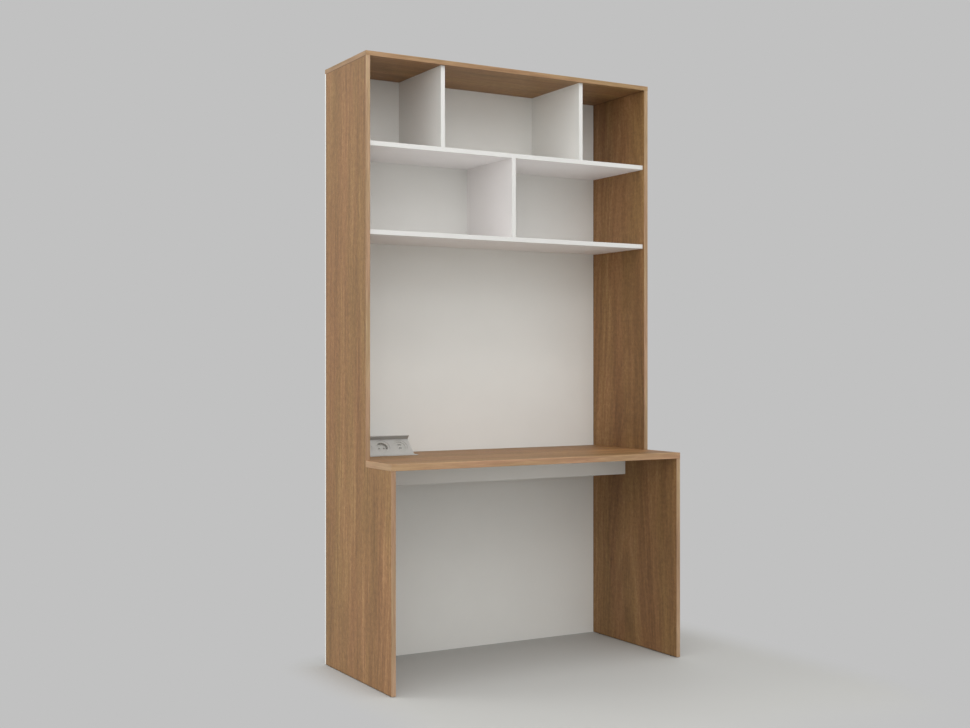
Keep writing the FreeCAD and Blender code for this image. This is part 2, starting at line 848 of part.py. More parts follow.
def flap_piece(label):
    """A piece of the flap. It is drawn folded down, and its frame is swung up."""
    piece = Piece(label, HINGE_AXIS, ORIGIN)
    angle = sizes.open_angle
    piece.body.Placement = Placement(Vector(), Rotation(Vector(-1, 0, 0), angle.value))
    piece.body.setExpression("Placement.Rotation.Angle", angle.text)
    return piece


def flap_section(inset):
    """The flap's section behind its socket face. Its back is round about the hinge axis, so
    that its gap to the frame stays the same as it turns."""
    radius = sizes.hinge_drop - inset
    face, back = SOCKET_FACE + inset, -inset
    return [
        (face, FLAP_FOOT),
        (back, FLAP_FOOT),
        (back, -radius),
        (ZERO, -radius),
        (radius, ZERO, radius, 1),
        (ZERO, radius, radius, 1),
        (face, radius),
    ]


def flap_shell():
    """The moulded flap: top with its lip, socket face, round back and end cheeks."""
    piece = flap_piece("flap_shell")
    outer = flap_section(ZERO)
    outer.pop(2)  # without an inset, this corner is the next one
    piece.pad("body", "+x", piece.outline("body", "x", -FLAP_END, outer), FLAP_END * 2)
    lid_under = sizes.hinge_drop - sizes.flap_wall
    lip = rectangle(-sizes.flap_reach, lid_under, SOCKET_FACE, sizes.hinge_drop)
    piece.pad("lip", "+x", piece.outline("lip", "x", -FLAP_END, lip), FLAP_END * 2)
    inner_end = FLAP_END - sizes.flap_wall
    hollow = piece.outline("hollow", "x", -inner_end, flap_section(sizes.flap_wall))
    piece.cut("hollow", "+x", hollow, inner_end * 2)
    for name, side in both_sides():
        inwards = "+x" if side < 0 else "-x"
        boss = piece.circle(f"{name}_boss", "x", inner_end * side, (ZERO, ZERO), sizes.hinge_boss)
        piece.pad(f"{name}_boss", inwards, boss, sizes.hinge_boss_length)
        pin = sizes.hinge_pin + sizes.hinge_running_clearance * 2
        depth = sizes.flap_wall + sizes.hinge_boss_length
        piece.bore(f"{name}_pin_hole", inwards, (FLAP_END * side, ZERO, ZERO), pin, depth)
    for name, x in insert_places().items():
        point = (x, SOCKET_FACE, INSERT_LEVEL)
        for kind, size, depth in (("seat", sizes.insert_rim, sizes.insert_seat),
                                  ("hole", sizes.insert_diameter, sizes.flap_wall)):
            diameter = size + sizes.insert_clearance * 2
            piece.bore(f"{name}_insert_{kind}", "+y", point, diameter, depth)
    return piece.body


def insert_places():
    """The X of the middle of each insert."""
    return {"left": -sizes.insert_pitch, "middle": ZERO, "right": sizes.insert_pitch}


def flap_cover():
    """The plate that closes the foot of the flap."""
    piece = flap_piece("flap_cover")
    end = FLAP_END - sizes.flap_wall
    inside = (-end, SOCKET_FACE + sizes.flap_wall, end, -sizes.flap_wall)
    corners = rectangle(*widened(inside, -sizes.cover_fit))
    plate = piece.outline("plate", "z", FLAP_FOOT, corners)
    piece.pad("plate", "+z", plate, sizes.cover_thickness)
    return piece.body


def insert(label, x, recess, recess_depth):
    """The rim, drum and round recess that every insert has."""
    piece = flap_piece(label)
    centre = (x, INSERT_LEVEL)
    rim = piece.circle("rim", "y", INSERT_SEAT, centre, sizes.insert_rim)
    piece.pad("rim", "-y", rim, sizes.insert_rim_height)
    drum = piece.circle("drum", "y", INSERT_SEAT, centre, sizes.insert_diameter)
    piece.pad("drum", "+y", drum, sizes.insert_depth)
    piece.bore("recess", "+y", (x, INSERT_MOUTH, INSERT_LEVEL), recess, recess_depth)
    return piece


def socket(label, x):
    """A round earthed socket: a deep recess with two pin holes and a key on each side."""
    piece = insert(label, x, sizes.socket_recess, sizes.socket_recess_depth)
    half = sizes.key_width / 2
    for name, side in both_sides():
        wall = x + (sizes.socket_recess / 2 + sizes.key_height / 2) * side
        crest = x + (sizes.socket_recess / 2 - sizes.key_height) * side
        corners = rectangle(crest, INSERT_LEVEL - half, wall, INSERT_LEVEL + half)
        key = piece.outline(f"{name}_key", "y", INSERT_SEAT, corners)
        piece.pad(f"{name}_key", "+y", key, sizes.socket_recess_depth)
        hole = (x + sizes.socket_pin_pitch / 2 * side,
                INSERT_MOUTH + sizes.socket_recess_depth, INSERT_LEVEL)
        piece.bore(f"{name}_pin_hole", "+y", hole, sizes.socket_pin, sizes.socket_pin_depth)
    return piece.body


def earth_clips():
    """A bowed contact strip above and below in the recess of each socket."""
    radius, half = sizes.socket_recess / 2, sizes.clip_width / 2
    reach = root(radius * radius - half * half) - sizes.insert_clearance
    front = SOCKET_FACE + sizes.flap_wall
    rear, middle = front + sizes.clip_length, front + sizes.clip_length / 2
    clips = []
    for name, x in list(insert_places().items())[:2]:
        for place, side in (("lower", -1), ("upper", 1)):
            wall = INSERT_LEVEL + reach * side
            inner = wall - sizes.clip_thickness * side
            bow = sizes.clip_bow * side
            corners = [
                (front, wall),
                (front, inner),
                (middle, inner - bow),
                (rear, inner),
                (rear, wall),
                (middle, wall - bow),
            ]
            piece = flap_piece(f"{name}_{place}_clip")
            strip = piece.outline("strip", "x", x - half, corners)
            piece.pad("strip", "+x", strip, sizes.clip_width)
            clips.append(piece)
    return grouped("earth_clips", clips)


def around(centre, width, height):
    """The low and high corner of a rectangle about a centre."""
    a, b = centre
    return a - width / 2, b - height / 2, a + width / 2, b + height / 2


def charger(ports, floor):
    """The charger insert: a shallow recess with a slot for each port."""
    piece = insert("charger_insert", sizes.insert_pitch, sizes.charger_recess,
                   sizes.charger_recess_depth)
    for name, centre in ports.items():
        port = around(centre, sizes.port_width, sizes.port_height)
        corners = rectangle(*widened(port, sizes.port_clearance))
        slot = piece.outline(f"{name}_slot", "y", floor, corners)
        piece.cut(f"{name}_slot", "+y", slot, sizes.port_depth + sizes.port_clearance)
    return piece.body


def port_shells(ports, floor):
    """The metal shell of each port: a flat tube, closed at its back."""
    shells = []
    for name, centre in ports.items():
        piece = flap_piece(f"{name}_port_shell")
        port = around(centre, sizes.port_width, sizes.port_height)
        tube = piece.outline("tube", "y", floor, rectangle(*port))
        piece.pad("tube", "+y", tube, sizes.port_depth)
        corners = rectangle(*widened(port, -sizes.port_wall))
        hollow = piece.outline("hollow", "y", floor, corners)
        piece.cut("hollow", "+y", hollow, sizes.port_depth - sizes.port_wall)
        shells.append(piece)
    return grouped("charger_port_shells", shells)


def port_tongues(ports, floor):
    """The contact tongue of each port, which stands on the back of its shell."""
    back = floor + sizes.port_depth - sizes.port_wall
    tongues = []
    for name, centre in ports.items():
        piece = flap_piece(f"{name}_port_tongue")
        corners = rectangle(*around(centre, sizes.tongue_width, sizes.tongue_height))
        blade = piece.outline("blade", "y", back, corners)
        piece.pad("blade", "-y", blade, sizes.tongue_length)
        tongues.append(piece)
    return grouped("charger_port_tongues", tongues)


# ---------------------------------------------------------------- assembly


def carcass():
    """The boards, their bands, and the tongues and glides that are let into them."""
    sides = {name: side_panel(name) for name, _ in both_sides()}
    top, board, back, apron = top_panel(), worktop(), back_panel(), apron_rail()
    lower, upper = shelf("lower_shelf", LOWER_SHELF), shelf("upper_shelf", UPPER_SHELF)
    offset = sizes.divider_offset
    left = divider("left_divider", -offset, UPPER_ROW)
    right = divider("right_divider", offset, UPPER_ROW)
    centre = divider("centre_divider", ZERO, LOWER_ROW)
    ends = [
        ("left_foot", left, -offset, upper, "-z", UPPER_ROW),
        ("left_head", left, -offset, top, "+z", TOP_UNDER),
        ("right_foot", right, offset, upper, "-z", UPPER_ROW),
        ("right_head", right, offset, top, "+z", TOP_UNDER),
        ("centre_foot", centre, ZERO, lower, "-z", LOWER_ROW),
        ("centre_head", centre, ZERO, upper, "+z", UPPER_SHELF),
    ]
    shelves = {"lower": (lower, LOWER_SHELF), "upper": (upper, UPPER_SHELF)}
    fittings = [
        shelf_tongues(shelves, sides),
        divider_tongues(ends),
        top_tongues(top, sides),
        worktop_tongues(board, sides),
        apron_tongues(apron, board, sides),
        floor_glides(sides),
    ]
    bands = [
        side_bands("left"),
        side_bands("right"),
        board_bands("top_panel_edge_bands", UPPER_FRONT, REAR, sizes.band, TOP_UNDER,
                    sizes.total_height, sizes.band_round),
        board_bands("worktop_edge_bands", FRONT, UPPER_FRONT, sizes.worktop_band, WORKTOP_UNDER,
                    sizes.worktop_height, sizes.worktop_band_round),
        shelf_bands(),
        divider_bands([(-offset, UPPER_ROW), (offset, UPPER_ROW), (ZERO, LOWER_ROW)]),
        apron_band(),
    ]
    boards = [*sides.values(), top, board, back, apron, lower, upper, left, right, centre]
    return [piece.body for piece in boards] + fittings + bands


def power_unit():
    """The fixed box with its fittings, and the flap with its inserts."""
    floor = INSERT_MOUTH + sizes.charger_recess_depth
    spacing = sizes.port_spacing / 2
    ports = {
        "lower": (sizes.insert_pitch, INSERT_LEVEL - spacing),
        "upper": (sizes.insert_pitch, INSERT_LEVEL + spacing),
    }
    return [
        power_box(),
        power_box_cover(),
        clamp_brackets(),
        cord_gland(),
        hinge_pins(),
        flap_shell(),
        flap_cover(),
        socket("left_socket", insert_places()["left"]),
        socket("middle_socket", insert_places()["middle"]),
        earth_clips(),
        charger(ports, floor),
        port_shells(ports, floor),
        port_tongues(ports, floor),
    ]


def check(nodes):
    """Stops at a failed object, an empty shape or a pocket that cuts nothing."""
    for thing in doc.Objects:
        if "Invalid" in thing.State or "Error" in thing.State:
            raise RuntimeError(f"{thing.Label}: {thing.State}")
        if thing.TypeId == "PartDesign::Pocket":
            before = thing.BaseFeature.Shape.Volume
            if thing.Shape.Volume > before - 0.1:
                raise RuntimeError(f"{thing.Label} cuts nothing")
    for node in nodes:
        if node.Shape.isNull() or not node.Shape.isValid():
            raise RuntimeError(f"{node.Label} has no valid shape")


def main():
    nodes = carcass() + power_unit()
    doc.recompute()
    check(nodes)
    os.makedirs("parts", exist_ok=True)
    for node in nodes:
        node.Shape.exportStep(f"parts/{node.Label}.step")


main()
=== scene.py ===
import json
import math

import bmesh
import bpy
from mathutils import Matrix, Vector


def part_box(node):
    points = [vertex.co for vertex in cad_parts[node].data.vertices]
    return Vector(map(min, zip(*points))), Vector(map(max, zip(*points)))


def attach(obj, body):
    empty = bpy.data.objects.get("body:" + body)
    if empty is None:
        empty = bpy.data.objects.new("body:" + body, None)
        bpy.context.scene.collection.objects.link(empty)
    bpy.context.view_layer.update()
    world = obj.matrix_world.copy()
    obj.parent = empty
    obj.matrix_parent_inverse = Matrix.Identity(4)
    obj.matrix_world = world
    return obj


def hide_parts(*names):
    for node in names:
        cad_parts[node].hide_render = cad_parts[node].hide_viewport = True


# Student desk with hutch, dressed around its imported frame. Places are in metres: +Z is up, the
# front faces -Y, and the origin is on the floor at the middle of the desk. The small turned and
# moulded shapes are given in millimetres. Tones are given in sRGB, from 0 to 255, and the scales
# of noises in marks per metre.

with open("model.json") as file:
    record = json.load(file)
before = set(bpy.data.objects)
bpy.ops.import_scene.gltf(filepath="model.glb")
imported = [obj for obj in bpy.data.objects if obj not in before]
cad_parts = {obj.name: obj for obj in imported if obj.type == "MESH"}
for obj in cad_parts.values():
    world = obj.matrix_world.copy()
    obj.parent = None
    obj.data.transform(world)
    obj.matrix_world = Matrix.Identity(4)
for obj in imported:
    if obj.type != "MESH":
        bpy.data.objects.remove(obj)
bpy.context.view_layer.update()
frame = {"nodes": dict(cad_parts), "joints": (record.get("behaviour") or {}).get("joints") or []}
nodes = frame["nodes"]

MM = 0.001
X, Y, Z = 0, 1, 2


def middle(node):
    """The middle of a CAD node's box."""
    low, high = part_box(node)
    return (low + high) / 2


# ---------------------------------------------------------------- materials


def linear(red, green, blue):
    """A colour in sRGB as the shader takes it."""
    levels = [level / 255 for level in (red, green, blue)]
    return tuple(v / 12.92 if v <= 0.04045 else ((v + 0.055) / 1.055) ** 2.4
                 for v in levels) + (1,)


def shades(tone, *shares):
    """A colour in sRGB made darker or lighter by each share, as the shader takes it."""
    return [tuple(min(level * share, 1) for level in linear(*tone)[:3]) + (1,)
            for share in shares]


# the sockets of a Mix node for colours: its factor and two colours, and the colour it gives
MIX_INPUTS = (0, 6, 7)
MIX_OUTPUT = 2


class Finish:
    """A material under construction: a Principled shader, and short calls for its nodes."""

    def __init__(self, name, specular=0.5, metallic=0.0):
        self.material = bpy.data.materials.new(name)
        self.material.use_nodes = True
        self.tree = self.material.node_tree
        self.shader = self.tree.nodes["Principled BSDF"]
        self.shader.inputs["Specular IOR Level"].default_value = specular
        self.shader.inputs["Metallic"].default_value = metallic
        self.place = self.tree.nodes.new("ShaderNodeTexCoord")

    def feed(self, socket, value):
        """A number, a colour or another node's output goes into a socket."""
        if isinstance(value, bpy.types.NodeSocket):
            self.tree.links.new(value, socket)
        else:
            socket.default_value = value

    def point(self):
        """A place on the object, in metres."""
        return self.place.outputs["Object"]

    def parts(self, vector):
        """The three numbers of a vector or colour."""
        node = self.tree.nodes.new("ShaderNodeSeparateXYZ")
        self.feed(node.inputs[0], vector)
        return node.outputs

    def vector(self, x=0.0, y=0.0, z=0.0):
        node = self.tree.nodes.new("ShaderNodeCombineXYZ")
        for socket, value in zip(node.inputs, (x, y, z)):
            self.feed(socket, value)
        return node.outputs[0]

    def math(self, operation, *values):
        node = self.tree.nodes.new("ShaderNodeMath")
        node.operation = operation
        for socket, value in zip(node.inputs, values):
            self.feed(socket, value)
        return node.outputs[0]

    def total(self, *shares):
        """The sum of values, each with the share that it has in it."""
        level = 0.0
        for value, share in shares:
            level = self.math("ADD", level, self.math("MULTIPLY", value, share))
        return level

    def noise(self, vector, scale, detail, roughness=0.5):
        """A noise from 0 to 1."""
        node = self.tree.nodes.new("ShaderNodeTexNoise")
        for name, value in (("Vector", vector), ("Scale", scale), ("Detail", detail),
                            ("Roughness", roughness)):
            self.feed(node.inputs[name], value)
        return node.outputs[0]

    def stretched(self, place, scales, detail, roughness=0.5):
        """A noise with its own scale on each axis of a place."""
        scaled = [self.math("MULTIPLY", coordinate, scale)
                  for coordinate, scale in zip(place, scales)]
        return self.noise(self.vector(*scaled), 1.0, detail, roughness)

    def grain(self, place, wide, long, detail, roughness):
        """A noise drawn out along the grain. The place is given across the grain, along it and,
        in a board, through it, and the noise has a wide scale across and a long one along."""
        return self.stretched(place, (wide, long, wide), detail, roughness)

    def cells(self, scale):
        """A level from 0 to 1, the same all over each cell in a field of cells."""
        node = self.tree.nodes.new("ShaderNodeTexVoronoi")
        self.feed(node.inputs["Vector"], self.point())
        self.feed(node.inputs["Scale"], scale)
        return self.parts(node.outputs["Color"])[0]

    def ramp(self, factor, *stops):
        """A colour ramp. A stop is a position and a colour."""
        node = self.tree.nodes.new("ShaderNodeValToRGB")
        elements = node.color_ramp.elements
        while len(elements) < len(stops):
            elements.new(0.5)
        for element, (position, colour) in zip(elements, stops):
            element.position = position
            element.color = colour
        self.feed(node.inputs[0], factor)
        return node.outputs[0]

    def span(self, value, low, high, new_low=0.0, new_high=1.0, interpolation="LINEAR"):
        """A value between low and high becomes one between the new limits."""
        node = self.tree.nodes.new("ShaderNodeMapRange")
        node.interpolation_type = interpolation
        for socket, number in zip(node.inputs, (value, low, high, new_low, new_high)):
            self.feed(socket, number)
        return node.outputs[0]

    def mix(self, factor, first, second, blend="MIX"):
        """Two colours mixed."""
        node = self.tree.nodes.new("ShaderNodeMix")
        node.data_type = "RGBA"
        node.blend_type = blend
        for number, value in zip(MIX_INPUTS, (factor, first, second)):
            self.feed(node.inputs[number], value)
        return node.outputs[MIX_OUTPUT]

    def speckled(self, low, high, main, lesser):
        """A colour between a dark tone and a light one, by a main noise and a lesser one."""
        level = self.total((main, 0.6), (lesser, 0.4))
        return self.ramp(level, (0.35, low), (0.65, high))

    def near(self, value, level, reach):
        """1 where a value lies at a level, falling to 0 within a reach of it."""
        gap = self.math("ABSOLUTE", self.math("SUBTRACT", value, level))
        return self.span(gap, 0.0, reach, 1.0, 0.0)

    def colour(self, value):
        self.feed(self.shader.inputs["Base Color"], value)

    def roughness(self, noise, low, high, spread=(0.3, 0.7)):
        """A roughness from low to high as a noise goes over its spread."""
        self.feed(self.shader.inputs["Roughness"], self.span(noise, *spread, low, high))

    def bump(self, height, depth, strength):
        """Relief: a height from 0 to 1 over a depth in metres."""
        node = self.tree.nodes.new("ShaderNodeBump")
        node.inputs["Strength"].default_value = strength
        node.inputs["Distance"].default_value = depth
        self.feed(node.inputs["Height"], height)
        self.feed(self.shader.inputs["Normal"], node.outputs[0])


# The oak decor's layers on a board and on a band: marks per metre across and along the grain,
# detail and roughness. Pores have, besides, the noise levels at which one is full and gone.
BOARD_LAYERS = {
    "streaks": (17.0, 1.0, 5.0, 0.62),
    "mottle": (70.0, 55.0, 3.0, 0.6),
    "flecks": (130.0, 9.0, 4.0, 0.62),
    "specks": (300.0, 90.0, 3.0, 0.6),
    "fibres": (900.0, 30.0, 4.0, 0.66),
    "hue": (9.0, 1.2, 4.0, 0.6),
}
BOARD_PORES = ((1900.0, 75.0, 1.0, 0.5), (0.36, 0.46))
BAND_LAYERS = {
    "rings": (25.0, 1.6, 2.0, 0.5),
    "streaks": (110.0, 4.0, 3.0, 0.6),
    "flecks": (240.0, 14.0, 3.0, 0.6),
    "fibres": (600.0, 22.0, 3.0, 0.6),
    "hue": (30.0, 2.4, 3.0, 0.5),
}
BAND_PORES = ((1000.0, 40.0, 2.0, 0.5), (0.28, 0.38))
SWAY_NOISE = (2.4, 1.5, 3.0, 0.5)
SWAY = 0.07  # how far the grain wanders across a board, in metres
# the growth rings arch about a heart line: their bend, their slope along the board, and the
# noise that is drawn along them
RING_BEND = 8.0
RING_SLOPE = 0.21
RING_SCALES = (26.0, 0.6)
RING_NOISE = (4.0, 0.62)

# each layer's share in the level of tone
BOARD_SHARES = {"rings": 0.25, "streaks": 0.33, "mottle": 0.16, "flecks": 0.15, "specks": 0.10,
                "fibres": 0.10}
BAND_SHARES = {"rings": 0.20, "streaks": 0.40, "flecks": 0.25, "fibres": 0.15}

# the tones at each level
BOARD_OAK = (
    (0.40, linear(104, 75, 45)),
    (0.51, linear(136, 100, 63)),
    (0.575, linear(152, 114, 73)),
    (0.70, linear(188, 147, 101)),
)
SIDE_BAND_OAK = (
    (0.36, linear(139, 110, 83)),
    (0.50, linear(163, 133, 103)),
    (0.64, linear(184, 154, 123)),
)
TOP_BAND_OAK = (
    (0.36, linear(128, 98, 66)),
    (0.50, linear(151, 120, 85)),
    (0.64, linear(173, 142, 106)),
)
WORKTOP_BAND_OAK = (
    (0.36, linear(143, 110, 81)),
    (0.50, linear(168, 133, 101)),
    (0.64, linear(189, 154, 120)),
)
# factors on the tone, from a yellower one to a redder one
HUES = ((0.40, (0.97, 1.012, 0.95, 1)), (0.60, (1.022, 0.978, 1.0, 1)))
BOARD_PORE = linear(84, 60, 37)
BAND_PORE = linear(124, 98, 72)
CORE = (
    (0.1, linear(122, 92, 60)),
    (0.5, linear(184, 152, 108)),
    (0.9, linear(214, 186, 142)),
)
# painted shade: the tone, width and share of the dark lines that stand for shade at joints and
# over gaps
SHADE_LINE_TONE = linear(70, 50, 32)
SHADE_LINE_WIDTH = 3 * MM
SHADE_LINE_SHARE = 0.85
FACE_NORMAL = 0.7  # a face whose normal is more than this along an axis lies across it

CHIPS, DUST = 420.0, 1500.0
PEARL, BOARD_CLOUD = 650.0, 6.0
SKIN, SKIN_CLOUD = 900.0, 40.0
SPANGLE, SPANGLE_CLOUD = 160.0, 300.0
BRUSH_ACROSS, BRUSH_ALONG = 1500.0, 25.0
VENEER = (300.0, 20.0, 300.0)


def board_lines(finish, along, across, depth, shift, heart):
    """The decor's layers on a board, each from 0 to 1. Shift moves the figure, so that no two
    boards are cut alike, and heart is where the rings arch."""
    place = finish.parts(finish.point())
    run = finish.math("ADD", place[along], shift)
    sway = finish.grain((place[across], run), *SWAY_NOISE)
    side = finish.math("ADD", place[across], finish.math("MULTIPLY", sway, SWAY))
    grain = (side, run, place[depth])
    off = finish.math("SUBTRACT", side, heart)
    arch = finish.total((finish.math("MULTIPLY", off, off), RING_BEND), (run, RING_SLOPE))
    rings = [finish.math("MULTIPLY", coordinate, scale)
             for coordinate, scale in zip((arch, run), RING_SCALES)]
    pores, pore_levels = BOARD_PORES
    lines = {name: finish.grain(grain, *layer) for name, layer in BOARD_LAYERS.items()}
    lines["rings"] = finish.noise(finish.vector(*rings, shift), 1.0, *RING_NOISE)
    lines["pores"] = finish.span(finish.grain(grain, *pores), *pore_levels, 1.0, 0.0)
    return lines


def band_lines(finish, upright, shift):
    """The decor's layers on an edge band. The grain follows the band: up, or round the edge."""
    x, y, z = finish.parts(finish.point())
    around = finish.math("ADD", x, y)
    run, side = (z, around) if upright else (around, z)
    grain = (side, finish.math("ADD", run, shift))
    pores, pore_levels = BAND_PORES
    lines = {name: finish.grain(grain, *layer) for name, layer in BAND_LAYERS.items()}
    lines["pores"] = finish.span(finish.grain(grain, *pores), *pore_levels, 1.0, 0.0)
    return lines


def oak_colour(finish, tones, lines, shares, pore, pore_share):
    """The decor's colour and its relief, from its layers."""
    level = finish.total(*[(lines[name], share) for name, share in shares.items()])
    colour = finish.ramp(level, *tones)
    colour = finish.mix(1.0, colour, finish.ramp(lines["hue"], *HUES), "MULTIPLY")
    colour = finish.mix(finish.math("MULTIPLY", lines["pores"], pore_share), colour, pore)
    relief = finish.math("SUBTRACT", lines["fibres"],
                         finish.math("MULTIPLY", lines["pores"], 0.6))
    return colour, relief


def core_colour(finish):
    """Particle board, as it shows where a board is cut."""
    dust = finish.noise(finish.point(), DUST, 3.0)
    return finish.ramp(finish.total((finish.cells(CHIPS), 0.6), (dust, 0.4)), *CORE)


def on_face(finish, axis):
    """1 on a board's two faces, which lie across the axis, and 0 on its cut edges."""
    normal = finish.parts(finish.place.outputs["Normal"])[axis]
    return finish.math("GREATER_THAN", finish.math("ABSOLUTE", normal), FACE_NORMAL)


def oak_board(name, along, across, depth, shift, heart, shade_lines=()):
    """A board in oak decor, with its core on the cut edges and painted shade: a dark line along
    each shade line, where shade falls at a joint or over a gap. A shade line is an axis and a
    level on it."""
    finish = Finish(name, specular=0.32)
    lines = board_lines(finish, along, across, depth, shift, heart)
    colour, relief = oak_colour(finish, BOARD_OAK, lines, BOARD_SHARES, BOARD_PORE, 0.45)
    place = finish.parts(finish.point())
    # painted shade: darker along each shade line
    for axis, level in shade_lines:
        line = finish.near(place[axis], level, SHADE_LINE_WIDTH)
        colour = finish.mix(finish.math("MULTIPLY", line, SHADE_LINE_SHARE), colour, SHADE_LINE_TONE)
    finish.colour(finish.mix(on_face(finish, depth), core_colour(finish), colour))
    finish.roughness(lines["fibres"], 0.44, 0.58)
    finish.bump(relief, 0.15 * MM, 0.5)
    return finish.material


def oak_band(name, upright, shift, tones):
    """An edge band in the same decor."""
    finish = Finish(name, specular=0.4)
    lines = band_lines(finish, upright, shift)
    colour, relief = oak_colour(finish, tones, lines, BAND_SHARES, BAND_PORE, 0.35)
    finish.colour(colour)
    finish.roughness(lines["fibres"], 0.36, 0.48)
    finish.bump(relief, 0.08 * MM, 0.4)
    return finish.material


def white_board(name, tone, depth=None):
    """A white melamine board with a fine pearl, and its core on the cut edges. With no depth it
    is white all round."""
    finish = Finish(name)
    cloud = finish.noise(finish.point(), BOARD_CLOUD, 3.0)
    pearl = finish.noise(finish.point(), PEARL, 3.0, 0.6)
    colour = finish.speckled(*shades(tone, 0.97, 1), cloud, pearl)
    if depth is not None:
        colour = finish.mix(on_face(finish, depth), core_colour(finish), colour)
    finish.colour(colour)
    finish.roughness(pearl, 0.42, 0.54)
    finish.bump(pearl, 0.05 * MM, 0.4)
    return finish.material


def moulded(name, tone, roughness, spread=0.08):
    """Moulded plastic with a spark-eroded skin, its tone spread between darker and lighter."""
    finish = Finish(name)
    skin = finish.noise(finish.point(), SKIN, 4.0, 0.7)
    cloud = finish.noise(finish.point(), SKIN_CLOUD, 2.0)
    finish.colour(finish.speckled(*shades(tone, 1 - spread, 1 + spread / 2), skin, cloud))
    finish.roughness(skin, roughness - 0.05, roughness + 0.07)
    finish.bump(skin, 0.04 * MM, 0.5)
    return finish.material


def plated(name, tone, roughness, brushed=None):
    """Metal: brushed along an axis, or else with a zinc spangle."""
    finish = Finish(name, metallic=1.0)
    if brushed is None:
        cloud = finish.noise(finish.point(), SPANGLE_CLOUD, 3.0)
        mark = finish.total((cloud, 0.5), (finish.cells(SPANGLE), 0.5))
    else:
        scales = [BRUSH_ACROSS] * 3
        scales[brushed] = BRUSH_ALONG
        mark = finish.stretched(finish.parts(finish.point()), scales, 3.0)
    low, high = shades(tone, 0.86, 1.08)
    finish.colour(finish.ramp(mark, (0.25, low), (0.75, high)))
    finish.roughness(mark, roughness - 0.07, roughness + 0.09, (0.2, 0.8))
    finish.bump(mark, 0.02 * MM, 0.3)
    return finish.material


def plywood(name):
    """Birch plywood, with its grain along Y."""
    finish = Finish(name)
    grain = finish.stretched(finish.parts(finish.point()), VENEER, 4.0)
    finish.colour(finish.ramp(grain, (0.3, linear(176, 140, 96)), (0.7, linear(222, 194, 152))))
    finish.roughness(grain, 0.62, 0.78)
    finish.bump(grain, 0.1 * MM, 0.5)
    return finish.material


WHITE = (232, 232, 228)
# painted light: a lighter copy of the white, on the shelves and the centre divider, for light
# that the lamps don't give them
PAINTED_LIGHT_WHITE = (242, 239, 238)
BAND_WHITE = (215, 214, 211)

back_low, back_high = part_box("back_panel")
top_low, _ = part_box("top_panel")
side_low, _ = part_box("left_side_panel")
# painted shade on the sides: a dark line where they meet the top panel and the back panel, and a
# painted shadow at their foot, over the shadow gap above the floor
side_shade_lines = ((Z, top_low.z), (Y, back_low.y), (Z, side_low.z))

finishes = {
    "left_side_panel": oak_board("oak_left_side", Z, Y, X, 0.0, -0.35, side_shade_lines),
    "right_side_panel": oak_board("oak_right_side", Z, Y, X, 5.3, 0.07, side_shade_lines),
    "top_panel": oak_board("oak_top", X, Y, Z, 11.9, 0.30),
    "worktop": oak_board("oak_worktop", X, Y, Z, 17.1, 0.02),
    "left_side_edge_bands": oak_band("oak_band_left", True, 1.0, SIDE_BAND_OAK),
    "right_side_edge_bands": oak_band("oak_band_right", True, 7.0, SIDE_BAND_OAK),
    "top_panel_edge_bands": oak_band("oak_band_top", False, 13.0, TOP_BAND_OAK),
    "worktop_edge_bands": oak_band("oak_band_worktop", False, 19.0, WORKTOP_BAND_OAK),
    "back_panel": white_board("white_back", WHITE),
    "upper_shelf": white_board("white_upper_shelf", PAINTED_LIGHT_WHITE, Z),
    "lower_shelf": white_board("white_lower_shelf", PAINTED_LIGHT_WHITE, Z),
    "left_divider": white_board("white_left_divider", WHITE, X),
    "right_divider": white_board("white_right_divider", WHITE, X),
    "centre_divider": white_board("white_centre_divider", PAINTED_LIGHT_WHITE, X),
    "apron_rail": white_board("white_apron", WHITE, Y),
}
white_band = white_board("white_band", BAND_WHITE)
tongue_wood = plywood("birch_plywood")
grey = moulded("grey_plastic", (177, 176, 172), 0.46)
socket_grey = moulded("socket_plastic", (176, 175, 170), 0.40)
black = moulded("black_plastic", (36, 36, 37), 0.42, spread=0.2)
pale = moulded("pale_plastic", (205, 204, 200), 0.45)
glide_black = moulded("glide_plastic", (44, 44, 45), 0.5, spread=0.2)
zinc = plated("zinc_steel", (196, 198, 202), 0.36)
pin_steel = plated("pin_steel", (200, 200, 203), 0.26, brushed=X)
brass = plated("nickel_brass", (208, 205, 196), 0.32, brushed=Z)
port_steel = plated("port_steel", (222, 221, 218), 0.42, brushed=Y)
for material, names in (
    (white_band, ("shelf_edge_bands", "divider_edge_bands", "apron_edge_band")),
    (tongue_wood, ("shelf_tongues", "divider_tongues", "top_panel_tongues", "worktop_tongues",
                   "apron_tongues")),
    (grey, ("power_box", "power_box_cover", "flap_shell", "flap_cover")),
    (socket_grey, ("left_socket", "middle_socket", "charger_insert")),
    (black, ("cord_gland",)),
    (pale, ("charger_port_tongues",)),
    (glide_black, ("floor_glides",)),
    (zinc, ("clamp_brackets",)),
    (pin_steel, ("flap_hinge_pins",)),
    (brass, ("earth_clips",)),
    (port_steel, ("charger_port_shells",)),
):
    for name in names:
        finishes[name] = material

for name, material in finishes.items():
    for slot in nodes[name].material_slots:
        slot.material = material


# ---------------------------------------------------------------- tools for meshes

SHARP = math.radians(34)  # edges that turn more than this are rounded, and shaded sharp
COPLANAR = math.radians(0.5)
WELD = 1e-6


def placed(name, data):
    """A new object in the scene."""
    thing = bpy.data.objects.new(name, data)
    bpy.context.scene.collection.objects.link(thing)
    return thing


def added(name, mesh, material, body, slot, *replaced):
    """A new piece that rides on a body, takes a finish, and stands for CAD nodes. The slot is
    not used.
    """
    mesh.materials.clear()
    mesh.materials.append(material)
    piece = placed(name, mesh)
    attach(piece, body)
    if replaced:
        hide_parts(*replaced)


def meshed(name, form):
    """The mesh of a form that is done with."""
    mesh = bpy.data.meshes.new(name)
    form.to_mesh(mesh)
    form.free()
    return mesh


